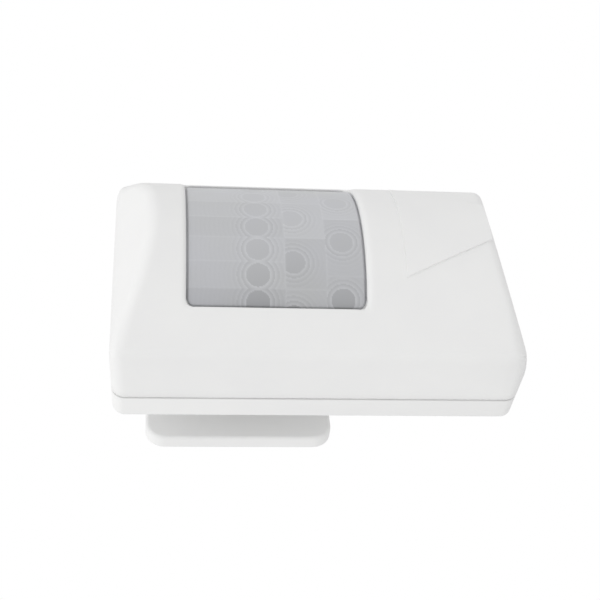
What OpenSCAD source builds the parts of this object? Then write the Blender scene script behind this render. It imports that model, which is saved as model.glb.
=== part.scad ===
// Wide-angle motion sensor on a two-axis wall bracket.
// The wall is the plane y = 0, the room is towards -Y and +Z is up.
// Pieces of the sensor head are drawn lying on their back: x across, y up the wall, z forward
// from the back of the housing. head() stands them up behind the bracket.

/* [Housing] */
// Height of the housing, end to end
housing_h = 120; // [98:1:150]
// Width of the housing along its crease
housing_w = 74.5; // [62:0.5:92]
// Depth of the housing, back to the crown of its arched front
housing_d = 46.5; // [39:0.5:56]
// Thickness of the front cover and of the rear cover's floor
wall = 1.8; // [1.4:0.1:2.4]
// Depth of the rear cover, up to the parting line
rear_d = 8; // [7:0.5:10]
// Depth at which the sides and the top end turn into slopes
side_crease = 26.6; // [24:0.2:29]
// Depth at which the bottom end turns into a slope
bottom_crease = 22.2; // [20:0.2:26]
// How far each wall draws in between its crease and the back
back_taper = 1; // [0:0.1:2]
// Angle off the crown at which the arch runs into straight shoulders
shoulder_angle = 41.7; // [38:0.1:45]
// How far the top end leans back at the crown
top_lean = 11.2; // [8:0.1:14]
// How far the bottom end leans back at the crown
bottom_lean = 10.5; // [8:0.1:14]
// Radius of the housing's upright corners
corner_r = 4; // [3:0.5:6]
// Radius that softens the crease
crease_r = 2; // [1:0.5:4]
// Gap between the two covers' walls where one laps the other
lap_gap = 0.25; // [0.15:0.05:0.4]
// Thickness of the rear cover's lip
lip_t = 1.2; // [1:0.1:1.6]
// How far the lip stands inside the front cover
lip_h = 2; // [1.5:0.5:3]

/* [Window and lens] */
// Distance from the top end to the window
window_top = 21; // [18:0.5:26]
// Height of the window
window_h = 50.7; // [40:0.1:54]
// Width of cover left at each side of the window
window_side = 10.25; // [9:0.25:13]
// Radius of the window's corners
window_r = 2.2; // [1:0.2:4]
// Thickness of the lens sheet
lens_t = 0.8; // [0.6:0.1:1.2]
// How far the lens and its frame run under the cover around the window
lens_lap = 2.5; // [1.5:0.25:3]
// Thickness of the frame that holds the lens
frame_t = 1.5; // [1:0.1:2]
// Gap between the lens and the pieces that hold it
lens_gap = 0.1; // [0.05:0.05:0.2]

/* [Front panel] */
// Gap between the window and the raised panel
panel_gap = 11.3; // [8:0.1:14]
// Half angle that the panel's wide end covers
panel_wide = 30.4; // [26:0.2:34]
// Half angle that the panel's narrow end covers
panel_narrow = 11.6; // [8:0.2:16]
// Height of the panel above the arch
panel_rise = 0.5; // [0.3:0.1:1]

/* [Bracket] */
// Width of the wall plate
plate_w = 61; // [50:0.5:74]
// Height of the wall plate
plate_h = 57; // [46:0.5:68]
// Thickness of the wall plate
plate_t = 4.3; // [3.5:0.1:6]
// Radius of the wall plate's corners
plate_r = 6; // [3:0.5:10]
// Gap between the wall plate and the back of the housing
bracket_gap = 16; // [15:0.5:20]
// Distance from the housing's top end down to the bracket's tilt axis
mount_drop = 39; // [32:0.5:47]
// Distance between the two wall screws
wall_screw_span = 32; // [26:1:46]
// Radius of the wall screw holes
wall_screw_r = 2.2; // [1.8:0.1:2.6]
// Outer radius of the swivel's barrels
barrel_r = 3.6; // [3.2:0.1:4]
// Half width of each swivel barrel
barrel_half = 4; // [3:0.5:6]
// Thickness of each swivel ear
ear_t = 4; // [3:0.5:5]
// Side gap between a barrel and the ears around it
ear_gap = 0.2; // [0.1:0.05:0.4]
// Distance between the pan axis and the tilt axis
axis_step = 7.5; // [7.3:0.1:9]
// Radius of the swivel screws
pivot_r = 1.5; // [1.25:0.05:1.75]
// Radial clearance around the swivel screws
pivot_gap = 0.05; // [0.02:0.01:0.1]

/* [Circuit board] */
// Height of the back of the board above the back of the housing
board_z = 5; // [4:0.2:6]
// Thickness of the board
board_t = 1.6; // [1:0.1:2]
// Distance from the housing's side to the board
board_side = 5.2; // [4.6:0.1:8]
// Distance from the housing's top end to the board
board_top = 14; // [13:0.5:18]
// Distance from the housing's bottom end to the board
board_bottom = 16; // [15:0.5:20]
// Number of ways in the terminal block
terminals = 6; // [4:1:8]
// Distance between terminals
terminal_pitch = 5.08; // [3.5:0.01:5.08]

/* [Hidden] */
$fn = 48;
eps = 0.05;

// Bracket: places across the gap between wall plate and housing
back_y = -(plate_t + bracket_gap);
ear_r = barrel_r + 0.2;
pan_y = -(plate_t + ear_r + 0.5);
tilt_y = pan_y - axis_step;
tilt_z = back_y - tilt_y;
ear_in = barrel_half + ear_gap;
ear_out = ear_in + ear_t;
pivot_bore = pivot_r + pivot_gap;
screw_head_r = 2.7;
screw_head_h = 2;
nut_r = 3.1;
nut_h = 2.4;
nut_sides = 6;
countersink_h = 2.2;

// Housing: heights along the wall, measured from the tilt axis
top_y = mount_drop;
bottom_y = mount_drop - housing_h;
half_w = housing_w / 2;
arch_steps = 48;
corner_steps = 6;
past = 6;
arch_r = (half_w * sin(shoulder_angle) + (side_crease - housing_d) * cos(shoulder_angle))
    / (1 - cos(shoulder_angle));
arch_z = housing_d - arch_r;
top_slope = top_lean / (housing_d - side_crease);
bottom_slope = bottom_lean / (housing_d - bottom_crease);
lip_in = wall + lap_gap;
cavity_in = lip_in + lip_t;

// Window, lens and panel
window_half = half_w - window_side;
window_y1 = top_y - window_top;
window_y0 = window_y1 - window_h;
lens_r = arch_r - wall - lens_gap;
frame_r = lens_r - lens_t - lens_gap;
panel_y1 = window_y0 - panel_gap;
panel_y0 = bottom_y + bottom_lean;

// Board and what stands on it
board_half = half_w - board_side;
board_y1 = top_y - board_top;
board_y0 = bottom_y + board_bottom;
top_z = board_z + board_t;
pin_gap = 0.1;
board_screw_x = board_half - 6;
board_screw_y = [board_y1 - 20, board_y0 + 6];
board_screw_r = 1.1;
board_boss_r = 2.8;
cover_screw_x = half_w - 12;
cover_screw_y = bottom_y + 9;
cover_screw_r = 1.45;
cover_screw_len = 18;
cover_boss_r = 3.4;
counterbore_h = 2.2;
cable_r = 2;
bung_r = 3;
bung_flange_r = 3.9;
bung_flange_h = 1.2;
bung_y = top_y - back_taper - cavity_in - bung_flange_r - lap_gap;
sensor_y = (window_y0 + window_y1) / 2;
can_r = 4.1;
can_h = 4.2;
can_flange_r = 4.6;
can_flange_h = 0.7;
can_pin_r = 0.25;
can_pin_ring = 2.54;
window_pane = [4, 3, 0.5];
led_y = sensor_y - 14;
led_r = 1.5;
led_h = 4.5;
terminal_d = 8;
terminal_h = 10;
terminal_w = terminals * terminal_pitch;
terminal_y = board_y1 - 6;
relay_size = [10, 20, 10.5];
relay_at = [14, board_y0 + 22];
tamper_at = [20, board_y0 + 5];
tamper_size = 6;
tamper_h = 4;
plunger_r = 1.5;
plunger_in = 2.6;
plunger_out = 4;
plunger_gap = 0.1;
rise_gap = 0.1;
pot_at = [-20, board_y0 + 20];
pot_size = 9;
pot_h = 4.5;
rotor_r = 3;
rotor_h = 1.6;
rotor_sunk = 1;
rotor_gap = 0.08;
jumper_at = [-4, board_y0 + 16];
jumper_pitch = 2.54;
header_h = 2.5;
jumper_pin = 0.64;
jumper_pin_h = 6;
jumper_pin_gap = 0.08;
cap_places = [[-12, sensor_y - 21, 3.2, 9], [21, sensor_y + 2, 2.5, 7]];
chip_size = [6, 9, 1.6];
chip_at = [3, sensor_y - 24];
resistor_size = [3.2, 1.6, 0.6];
resistor_rows = 5;
resistor_pitch = 4;
resistor_at = [-20, sensor_y + 14];

function unit(v) = v / norm(v);

// Moves every edge of an anticlockwise outline inwards by e
function inset(pts, e) = let (n = len(pts)) [for (i = [0:n - 1])
    let (u = unit(pts[i] - pts[(i + n - 1) % n]),
        v = unit(pts[(i + 1) % n] - pts[i]),
        nu = [-u[1], u[0]],
        nv = [-v[1], v[0]])
    pts[i] + e * (nu + nv) / (1 + nu * nv)];

// Points of an arc of radius r that rounds the corner b between a and c
function arc_corner(a, b, c, r) = let (u = unit(a - b),
        v = unit(c - b),
        half = acos(u * v) / 2,
        mid = b + unit(u + v) * r / sin(half),
        p = b + u * r / tan(half) - mid,
        q = b + v * r / tan(half) - mid,
        a0 = atan2(p[1], p[0]),
        turn = (atan2(q[1], q[0]) - a0 + 540) % 360 - 180)
    [for (k = [0:corner_steps]) mid + r * [cos(a0 + turn * k / corner_steps),
        sin(a0 + turn * k / corner_steps)]];

// An outline with each corner rounded by its own radius, or left sharp where that is 0
function rounded(pts, radii) = let (n = len(pts)) [for (i = [0:n - 1])
    each radii[i] == 0 ? [pts[i]]
        : arc_corner(pts[(i + n - 1) % n], pts[i], pts[(i + 1) % n], radii[i])];

function rectangle(x0, y0, x1, y1) = [[x0, y0], [x1, y0], [x1, y1], [x0, y1]];

// Housing seen from below: tapered sides, crease, straight shoulders and arch
arch_points = [for (k = [0:arch_steps])
    let (a = shoulder_angle * (1 - 2 * k / arch_steps))
    [arch_r * sin(a), arch_z + arch_r * cos(a)]];
section_points = concat([[2 * back_taper - half_w, -side_crease],
    [half_w - 2 * back_taper, -side_crease], [half_w, side_crease]],
    arch_points, [[-half_w, side_crease]]);

// Housing seen from the side: both ends with their slopes, run on past the crown
profile_points = [[bottom_y + 2 * back_taper, -bottom_crease],
    [top_y - 2 * back_taper, -side_crease],
    [top_y, side_crease],
    [top_y - top_slope * (housing_d + past - side_crease), housing_d + past],
    [bottom_y + bottom_slope * (housing_d + past - bottom_crease), housing_d + past],
    [bottom_y, bottom_crease]];

// The housing's outer form, drawn in by e all round, between two depths
module housing(e, z0, z1) {
    soft = max(crease_r - e, 0.4);
    section_r = [for (i = [0:len(section_points) - 1])
        i == 2 || i == len(section_points) - 1 ? soft : 0];
    intersection() {
        translate([0, (top_y + bottom_y) / 2, 0])
            rotate([90, 0, 0])
                linear_extrude(2 * housing_h, center = true)
                    polygon(rounded(inset(section_points, e), section_r));
        rotate([90, 0, 90])
            linear_extrude(2 * housing_w, center = true)
                polygon(rounded(inset(profile_points, e), [0, 0, soft, 0, 0, soft]));
        translate([0, 0, z0])
            linear_extrude(z1 - z0)
                polygon(rounded(inset(rectangle(-half_w - eps, bottom_y - eps, half_w + eps, top_y + eps), e),
                    [for (i = [0:3]) max(corner_r - e, 0.5)]));
    }
}

// Stands a piece of the head up behind the bracket
module head() {
    translate([0, back_y, 0])
        rotate([90, 0, 0])
            children();
}

// A round bar along x, y or z
module bar(axis, r, l) {
    turn = axis == "x" ? [0, 90, 0] : axis == "y" ? [90, 0, 0] : [0, 0, 0];
    rotate(turn)
        cylinder(r = r, h = l, center = true);
}

// A block given by its middle in x and y, its size, and the height it stands at
module block(at, size, z) {
    translate([at[0] - size[0] / 2, at[1] - size[1] / 2, z])
        cube(size);
}

// A screw along z with a slotted head at the top; its head's underside is at 0
module screw(r, l, head_r, head_h) {
    slot_w = 0.5;
    difference() {
        union() {
            cylinder(r = head_r, h = head_h);
            translate([0, 0, -l])
                cylinder(r = r, h = l + eps);
        }
        translate([-head_r - 1, -slot_w / 2, head_h * 0.5])
            cube([2 * head_r + 2, slot_w, head_h]);
    }
}

// Window outline, grown by g, as a prism through the front
module window_prism(g) {
    translate([0, 0, arch_z])
        linear_extrude(housing_d)
            polygon(rounded(rectangle(-window_half - g, window_y0 - g, window_half + g, window_y1 + g),
                [for (i = [0:3]) window_r]));
}

// Part of a round sheet behind the window, between two radii
module arched_sheet(r_out, r_in, g) {
    mid_y = (window_y0 + window_y1) / 2;
    intersection() {
        translate([0, mid_y, arch_z])
            difference() {
                bar("y", r_out, window_h + 2 * g);
                bar("y", r_in, window_h + 2 * g + 2);
            }
        window_prism(g);
    }
}

// Ears on both sides of a barrel: along z, joined to a face at distance d
module ears(d) {
    for (s = [-1, 1])
        translate([0, 0, s * (ear_in + ear_out) / 2])
            union() {
                cylinder(r = ear_r, h = ear_t, center = true);
                translate([-ear_r, 0, -ear_t / 2])
                    cube([2 * ear_r, d, ear_t]);
            }
}

// ---- Bracket ----

module wall_plate() {
    color("whitesmoke")
        difference() {
            union() {
                rotate([90, 0, 0])
                    linear_extrude(plate_t)
                        polygon(rounded(rectangle(-plate_w / 2, -plate_h / 2, plate_w / 2, plate_h / 2),
                            [for (i = [0:3]) plate_r]));
                translate([0, pan_y, 0])
                    ears(-pan_y - plate_t / 2);
            }
            translate([0, pan_y, 0])
                bar("z", pivot_bore, 3 * ear_out);
            for (s = [-1, 1])
                translate([s * wall_screw_span / 2, 0, 0]) {
                    translate([0, -plate_t / 2, 0])
                        bar("y", wall_screw_r, 2 * plate_t);
                    translate([0, -plate_t - eps, 0])
                        rotate([-90, 0, 0])
                            cylinder(r1 = wall_screw_r + countersink_h + eps, r2 = wall_screw_r,
                                h = countersink_h + eps);
                }
        }
}

// A swivel screw with its nut's place at the other end, along z about the origin
module pivot_screw() {
    translate([0, 0, ear_out])
        screw(pivot_r, 2 * ear_out + nut_h + 1, screw_head_r, screw_head_h);
}

module pivot_nut() {
    translate([0, 0, -ear_out - nut_h])
        difference() {
            cylinder(r = nut_r, h = nut_h, $fn = nut_sides);
            translate([0, 0, -1])
                cylinder(r = pivot_bore, h = nut_h + 2);
        }
}

module pan_screw() {
    color("silver")
        translate([0, pan_y, 0])
            pivot_screw();
}

module pan_nut() {
    color("silver")
        translate([0, pan_y, 0])
            pivot_nut();
}

module swivel_knuckle() {
    neck = barrel_r - 0.6;
    color("whitesmoke")
        difference() {
            union() {
                translate([0, pan_y, 0])
                    bar("z", barrel_r, 2 * barrel_half);
                translate([0, tilt_y, 0])
                    bar("x", barrel_r, 2 * barrel_half);
                translate([-neck, tilt_y, -neck])
                    cube([2 * neck, axis_step, 2 * neck]);
            }
            translate([0, pan_y, 0])
                bar("z", pivot_bore, 4 * barrel_half);
            translate([0, tilt_y, 0])
                bar("x", pivot_bore, 4 * barrel_half);
        }
}

module tilt_screw() {
    color("silver")
        translate([0, tilt_y, 0])
            rotate([0, 90, 0])
                pivot_screw();
}

module tilt_nut() {
    color("silver")
        translate([0, tilt_y, 0])
            rotate([0, 90, 0])
                pivot_nut();
}

// ---- Rear cover and what is fixed in it ----

module at_cover_screws() {
    for (s = [-1, 1])
        translate([s * cover_screw_x, cover_screw_y, 0])
            children();
}

module at_board_screws() {
    for (s = [-1, 1])
        translate([s * board_screw_x, board_screw_y[s < 0 ? 0 : 1], 0])
            children();
}

module rear_cover() {
    color("whitesmoke")
        head()
            difference() {
                union() {
                    difference() {
                        union() {
                            housing(0, 0, rear_d);
                            housing(lip_in, wall, rear_d + lip_h);
                        }
                        housing(cavity_in, wall, rear_d + lip_h + 1);
                    }
                    at_cover_screws()
                        cylinder(r = cover_boss_r, h = rear_d);
                    at_board_screws()
                        cylinder(r = board_boss_r, h = board_z);
                    translate([0, 0, tilt_z])
                        rotate([0, 90, 0])
                            rotate([0, 0, 90])
                                ears(wall / 2 - tilt_z);
                }
                translate([0, 0, tilt_z])
                    bar("x", pivot_bore, 3 * ear_out);
                at_cover_screws() {
                    translate([0, 0, -1])
                        cylinder(r = cover_screw_r + lap_gap, h = rear_d + 2);
                    translate([0, 0, -1])
                        cylinder(r = screw_head_r + lap_gap, h = counterbore_h + 1);
                }
                at_board_screws()
                    translate([0, 0, wall])
                        cylinder(r = board_screw_r, h = board_z);
                translate([0, bung_y, -1])
                    cylinder(r = bung_r + eps, h = wall + 2);
            }
}

module cable_bung() {
    color("dimgray")
        head()
            translate([0, bung_y, 0])
                difference() {
                    union() {
                        cylinder(r = bung_r, h = wall + bung_flange_h);
                        translate([0, 0, wall])
                            cylinder(r = bung_flange_r, h = bung_flange_h);
                    }
                    translate([0, 0, -1])
                        cylinder(r = cable_r, h = wall + bung_flange_h + 2);
                }
}

module cover_screws() {
    color("silver")
        head()
            at_cover_screws()
                translate([0, 0, counterbore_h])
                    rotate([180, 0, 0])
                        screw(cover_screw_r, cover_screw_len, screw_head_r, screw_head_h);
}

module circuit_board() {
    color("darkgreen")
        head()
            difference() {
                translate([-board_half, board_y0, board_z])
                    cube([2 * board_half, board_y1 - board_y0, board_t]);
                at_board_screws()
                    cylinder(r = board_screw_r + 0.4, h = top_z + 1);
                at_can_pins()
                    cylinder(r = can_pin_r + pin_gap, h = top_z + 1);
            }
}

module board_screws() {
    color("silver")
        head()
            at_board_screws()
                translate([0, 0, top_z])
                    screw(board_screw_r, board_z + board_t - wall - 0.5, board_screw_r + 1.2, 1.5);
}

// ---- On the board ----

module at_can_pins() {
    for (a = [45, 135, 270])
        translate([0, sensor_y, 0])
            rotate([0, 0, a])
                translate([can_pin_ring, 0, 0])
                    children();
}

module pyro_sensor() {
    color("silver")
        head()
            difference() {
                union() {
                    translate([0, sensor_y, top_z]) {
                        cylinder(r = can_flange_r, h = can_flange_h);
                        cylinder(r = can_r, h = can_h);
                    }
                    at_can_pins()
                        translate([0, 0, board_z - 1])
                            cylinder(r = can_pin_r, h = board_t + 1 + eps);
                }
                block([0, sensor_y], window_pane, top_z + can_h - window_pane[2]);
            }
}

module pyro_window() {
    color("dimgray")
        head()
            block([0, sensor_y], window_pane, top_z + can_h - window_pane[2]);
}

module led() {
    color("red")
        head()
            translate([0, led_y, top_z]) {
                cylinder(r = led_r + 0.3, h = 1);
                cylinder(r = led_r, h = led_h - led_r);
                translate([0, 0, led_h - led_r])
                    sphere(r = led_r);
            }
}

module at_terminals() {
    for (i = [0:terminals - 1])
        translate([(i - (terminals - 1) / 2) * terminal_pitch, terminal_y, top_z])
            children();
}

module terminal_block() {
    entry_w = terminal_pitch - 1.8;
    entry_h = 3.4;
    color("seagreen")
        head()
            difference() {
                block([0, terminal_y], [terminal_w, terminal_d, terminal_h], top_z);
                at_terminals() {
                    translate([0, 0, terminal_h - 4])
                        cylinder(r = 1.9, h = 5);
                    translate([-entry_w / 2, 0, 1.4])
                        cube([entry_w, terminal_d, entry_h]);
                }
            }
}

module terminal_screws() {
    color("silver")
        head()
            at_terminals()
                translate([0, 0, terminal_h - 2.4])
                    screw(1, 1.6, 1.7, 1.4);
}

module relay() {
    color("royalblue")
        head()
            block(relay_at, relay_size, top_z);
}

module tamper_switch() {
    color("black")
        head()
            difference() {
                block(tamper_at, [tamper_size, tamper_size, tamper_h], top_z);
                translate([tamper_at[0], tamper_at[1], top_z + tamper_h - plunger_in])
                    cylinder(r = plunger_r + plunger_gap, h = plunger_in + 1);
            }
}

module tamper_plunger() {
    color("ivory")
        head()
            translate([tamper_at[0], tamper_at[1], top_z + tamper_h - plunger_in + rise_gap])
                cylinder(r = plunger_r, h = plunger_in + plunger_out - rise_gap);
}

module range_pot() {
    color("royalblue")
        head()
            difference() {
                block(pot_at, [pot_size, pot_size, pot_h], top_z);
                translate([pot_at[0], pot_at[1], top_z + pot_h - rotor_sunk - rotor_gap])
                    cylinder(r = rotor_r + rotor_gap, h = pot_h);
            }
}

module range_rotor() {
    slot_w = 0.8;
    color("ivory")
        head()
            translate([pot_at[0], pot_at[1], top_z + pot_h - rotor_sunk])
                difference() {
                    cylinder(r = rotor_r, h = rotor_h);
                    translate([-rotor_r + 0.6, -slot_w / 2, rotor_h - 0.9])
                        cube([2 * rotor_r - 1.2, slot_w, 2]);
                }
}

module at_jumper_pins(n) {
    for (i = [0:n - 1])
        translate([jumper_at[0] + (i - 1) * jumper_pitch, jumper_at[1], 0])
            children();
}

module jumper_header() {
    color("black")
        head() {
            block(jumper_at, [3 * jumper_pitch, jumper_pitch, header_h], top_z);
            at_jumper_pins(3)
                block([0, 0], [jumper_pin, jumper_pin, header_h + jumper_pin_h], top_z);
        }
}

module jumper_cap() {
    hole = jumper_pin + 2 * jumper_pin_gap;
    color("royalblue")
        head()
            difference() {
                block([jumper_at[0] - jumper_pitch / 2, jumper_at[1]],
                    [2 * jumper_pitch - 0.2, jumper_pitch - 0.1, jumper_pin_h + 1],
                    top_z + header_h + rise_gap);
                at_jumper_pins(2)
                    block([0, 0], [hole, hole, jumper_pin_h + rise_gap + 0.2], top_z + header_h);
            }
}

module capacitors() {
    color("midnightblue")
        head()
            for (c = cap_places)
                translate([c[0], c[1], top_z])
                    cylinder(r = c[2], h = c[3]);
}

module control_chip() {
    color("black")
        head()
            block(chip_at, chip_size, top_z);
}

module resistors() {
    color("black")
        head()
            for (i = [0:resistor_rows - 1])
                block([resistor_at[0], resistor_at[1] - i * resistor_pitch], resistor_size, top_z);
}

// ---- Front cover and lens ----

// Raised panel below the window: wide at the window, narrow at the bottom end
module front_panel() {
    wide = arch_r * sin(panel_wide);
    narrow = arch_r * sin(panel_narrow);
    intersection() {
        translate([0, 0, arch_z])
            linear_extrude(2 * housing_d)
                polygon([[-narrow, panel_y0], [narrow, panel_y0], [wide, panel_y1], [-wide, panel_y1]]);
        housing(-panel_rise, rear_d, housing_d + panel_rise + 1);
    }
}

// Posts inside the front cover, cut off by its own form
module cover_posts() {
    intersection() {
        union() {
            at_cover_screws()
                translate([0, 0, rear_d + lap_gap])
                    cylinder(r = cover_boss_r, h = housing_d);
            translate([tamper_at[0], tamper_at[1], top_z + tamper_h + plunger_out + rise_gap])
                cylinder(r = plunger_r + 0.5, h = housing_d);
        }
        housing(wall / 2, rear_d, housing_d);
    }
}

module front_cover() {
    color("whitesmoke")
        head()
            difference() {
                union() {
                    difference() {
                        union() {
                            housing(0, rear_d, housing_d + 1);
                            front_panel();
                        }
                        housing(wall, rear_d - 1, housing_d);
                    }
                    cover_posts();
                }
                window_prism(0);
                at_cover_screws()
                    cylinder(r = cover_screw_r + pivot_gap, h = cover_screw_len + counterbore_h + 1);
            }
}

module fresnel_lens() {
    color("lightsteelblue")
        head()
            arched_sheet(lens_r, lens_r - lens_t, lens_lap);
}

module lens_frame() {
    color("gray")
        head()
            difference() {
                arched_sheet(frame_r, frame_r - frame_t, lens_lap);
                window_prism(-0.5);
            }
}

wall_plate();
pan_screw();
pan_nut();
swivel_knuckle();
tilt_screw();
tilt_nut();
rear_cover();
cable_bung();
cover_screws();
circuit_board();
board_screws();
pyro_sensor();
pyro_window();
led();
terminal_block();
terminal_screws();
relay();
tamper_switch();
tamper_plunger();
range_pot();
range_rotor();
jumper_header();
jumper_cap();
capacitors();
control_chip();
resistors();
front_cover();
fresnel_lens();
lens_frame();
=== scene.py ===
import math

import bmesh
import bpy
from mathutils import Matrix, Vector


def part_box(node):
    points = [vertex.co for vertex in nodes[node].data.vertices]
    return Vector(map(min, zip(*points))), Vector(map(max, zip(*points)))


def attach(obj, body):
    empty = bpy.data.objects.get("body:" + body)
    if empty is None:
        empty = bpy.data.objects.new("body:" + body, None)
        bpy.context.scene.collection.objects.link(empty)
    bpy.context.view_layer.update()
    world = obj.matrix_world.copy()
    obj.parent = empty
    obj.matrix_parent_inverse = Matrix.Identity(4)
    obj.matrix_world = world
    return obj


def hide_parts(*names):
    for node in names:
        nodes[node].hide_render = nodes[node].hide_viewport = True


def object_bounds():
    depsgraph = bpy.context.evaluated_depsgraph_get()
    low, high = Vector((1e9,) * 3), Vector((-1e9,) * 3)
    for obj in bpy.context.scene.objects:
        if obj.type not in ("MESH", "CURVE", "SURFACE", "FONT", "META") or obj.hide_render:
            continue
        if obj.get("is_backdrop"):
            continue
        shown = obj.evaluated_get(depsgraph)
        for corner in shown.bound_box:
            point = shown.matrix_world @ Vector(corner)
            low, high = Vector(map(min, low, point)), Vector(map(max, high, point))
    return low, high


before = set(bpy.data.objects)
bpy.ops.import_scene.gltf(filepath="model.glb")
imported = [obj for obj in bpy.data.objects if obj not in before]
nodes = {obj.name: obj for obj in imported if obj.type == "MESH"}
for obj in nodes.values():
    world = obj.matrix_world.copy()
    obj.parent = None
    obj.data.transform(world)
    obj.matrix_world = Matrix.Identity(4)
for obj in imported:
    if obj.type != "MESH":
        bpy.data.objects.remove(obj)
cad_low, cad_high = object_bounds()
mm = 0.001

# ---- Wall plate ----
# The flat plate that is screwed to the wall, with the two ears of the upright pivot.
# Moulded in white ABS, in one piece; its front rim is well rounded and all other edges barely broken.


def linear(hex_colour):
    """An sRGB hex colour as the linear RGBA that the shaders take."""
    parts = [int(hex_colour[i : i + 2], 16) / 255 for i in (1, 3, 5)]
    return [c / 12.92 if c <= 0.04045 else ((c + 0.055) / 1.055) ** 2.4 for c in parts] + [1]


def node(tree, kind, inputs={}, **settings):
    """Adds a shader node with its settings, and sets or links each input."""
    made = tree.nodes.new(kind)
    for name, value in settings.items():
        setattr(made, name, value)
    for name, value in inputs.items():
        if isinstance(value, bpy.types.NodeSocket):
            tree.links.new(value, made.inputs[name])
        else:
            made.inputs[name].default_value = value
    return made


def start_material(name):
    """An empty node material, with the object's own coordinates."""
    material = bpy.data.materials.new(name)
    material.use_nodes = True
    tree = material.node_tree
    tree.nodes.clear()
    return material, tree, node(tree, "ShaderNodeTexCoord").outputs["Object"]


def moulded_plastic(name, light, dark, patch, grain, roughness, relief, ior=1.5):
    """A moulded plastic: faint flow patches between two tones, and the fine grain of the mould."""
    material, tree, place = start_material(name)
    flow = node(tree, "ShaderNodeTexNoise", {"Vector": place, "Scale": 1 / patch, "Detail": 3})
    fine = node(tree, "ShaderNodeTexNoise", {"Vector": place, "Scale": 1 / grain, "Detail": 2})
    colour = node(tree, "ShaderNodeMix", {0: flow.outputs["Fac"], 6: linear(light), 7: linear(dark)},
                  data_type="RGBA")
    gloss = node(tree, "ShaderNodeMapRange", {"Value": fine.outputs["Fac"],
                                              "To Min": roughness - 0.07, "To Max": roughness + 0.07})
    bump = node(tree, "ShaderNodeBump", {"Height": fine.outputs["Fac"], "Strength": 0.35,
                                         "Distance": relief})
    shader = node(tree, "ShaderNodeBsdfPrincipled",
                  {"Base Color": colour.outputs[2], "Roughness": gloss.outputs["Result"],
                   "Normal": bump.outputs["Normal"], "IOR": ior})
    node(tree, "ShaderNodeOutputMaterial", {"Surface": shader.outputs["BSDF"]})
    return material


def freeze(piece):
    """Makes a piece's modifiers part of its mesh."""
    bpy.context.view_layer.update()
    shaped = piece.evaluated_get(bpy.context.evaluated_depsgraph_get())
    mesh = bpy.data.meshes.new_from_object(shaped)
    piece.modifiers.clear()
    piece.data = mesh


def smooth(piece, angle=35):
    """Smooth shading, broken only where faces meet at more than this angle."""
    piece.data.shade_smooth()
    piece.data.set_sharp_from_angle(angle=math.radians(angle))


def new_piece(name, form, body, material):
    """Turns a bmesh into a piece that moves with a body."""
    mesh = bpy.data.meshes.new(name)
    form.to_mesh(mesh)
    form.free()
    piece = bpy.data.objects.new(name, mesh)
    bpy.context.scene.collection.objects.link(piece)
    piece.data.materials.append(material)
    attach(piece, body)
    return piece


def round_edges(piece, width_of, segments=4, sharper_than=30):
    """Rounds each edge sharper than an angle by the width that width_of(middle) gives, in metres."""
    form = bmesh.new()
    form.from_mesh(piece.data)
    weight = form.edges.layers.float.get("bevel_weight_edge") or form.edges.layers.float.new(
        "bevel_weight_edge")
    widest = 4 * mm
    for edge in form.edges:
        sharp = len(edge.link_faces) == 2 and edge.calc_face_angle(0) > math.radians(sharper_than)
        middle = (edge.verts[0].co + edge.verts[1].co) / 2
        edge[weight] = width_of(middle) / widest if sharp else 0
    form.to_mesh(piece.data)
    form.free()
    bevel = piece.modifiers.new("rounding", "BEVEL")
    bevel.limit_method = "WEIGHT"
    bevel.width = widest
    bevel.segments = segments
    bevel.use_clamp_overlap = False
    freeze(piece)


def from_cad(name, body, material, width_of, segments=3):
    """A copy of a CAD node with its flat faces whole again and its edges rounded, in its place."""
    form = bmesh.new()
    form.from_mesh(nodes[name].data)
    bmesh.ops.remove_doubles(form, verts=form.verts, dist=0.002 * mm)
    bmesh.ops.dissolve_limit(form, angle_limit=math.radians(0.4), verts=form.verts, edges=form.edges)
    piece = new_piece(name + "_moulding", form, body, material)
    round_edges(piece, width_of, segments)
    smooth(piece)
    level = piece.modifiers.new("level_faces", "WEIGHTED_NORMAL")
    level.keep_sharp = True
    freeze(piece)
    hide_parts(name)


# White ABS as moulded against a finely eroded steel: an even, satin, almost neutral white.
white_abs = moulded_plastic("white_abs_satin", "#EDEDEC", "#E8E8E8", 14 * mm, 0.35 * mm, 0.42, 0.02 * mm)
plate_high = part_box("wall_plate")[1]
plate_face = -4.3 * mm


def plate_width(middle):
    """The plate's front rim is rounded far more than its other edges."""
    rim = max(abs(middle.x) - plate_high.x, abs(middle.z) - plate_high.z) > -2.5 * mm
    return 1.2 * mm if rim and abs(middle.y - plate_face) < 0.1 * mm else 0.25 * mm


from_cad("wall_plate", "bracket", white_abs, plate_width)

# ---- Swivel ----
# The cross-shaped knuckle between plate and housing: an upright barrel and a level one.
# Moulded in the same ABS, and clamped between the ears by a zinc-plated screw and nut each way.
from_cad("swivel_knuckle", "knuckle", white_abs, lambda middle: 0.3 * mm)


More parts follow.
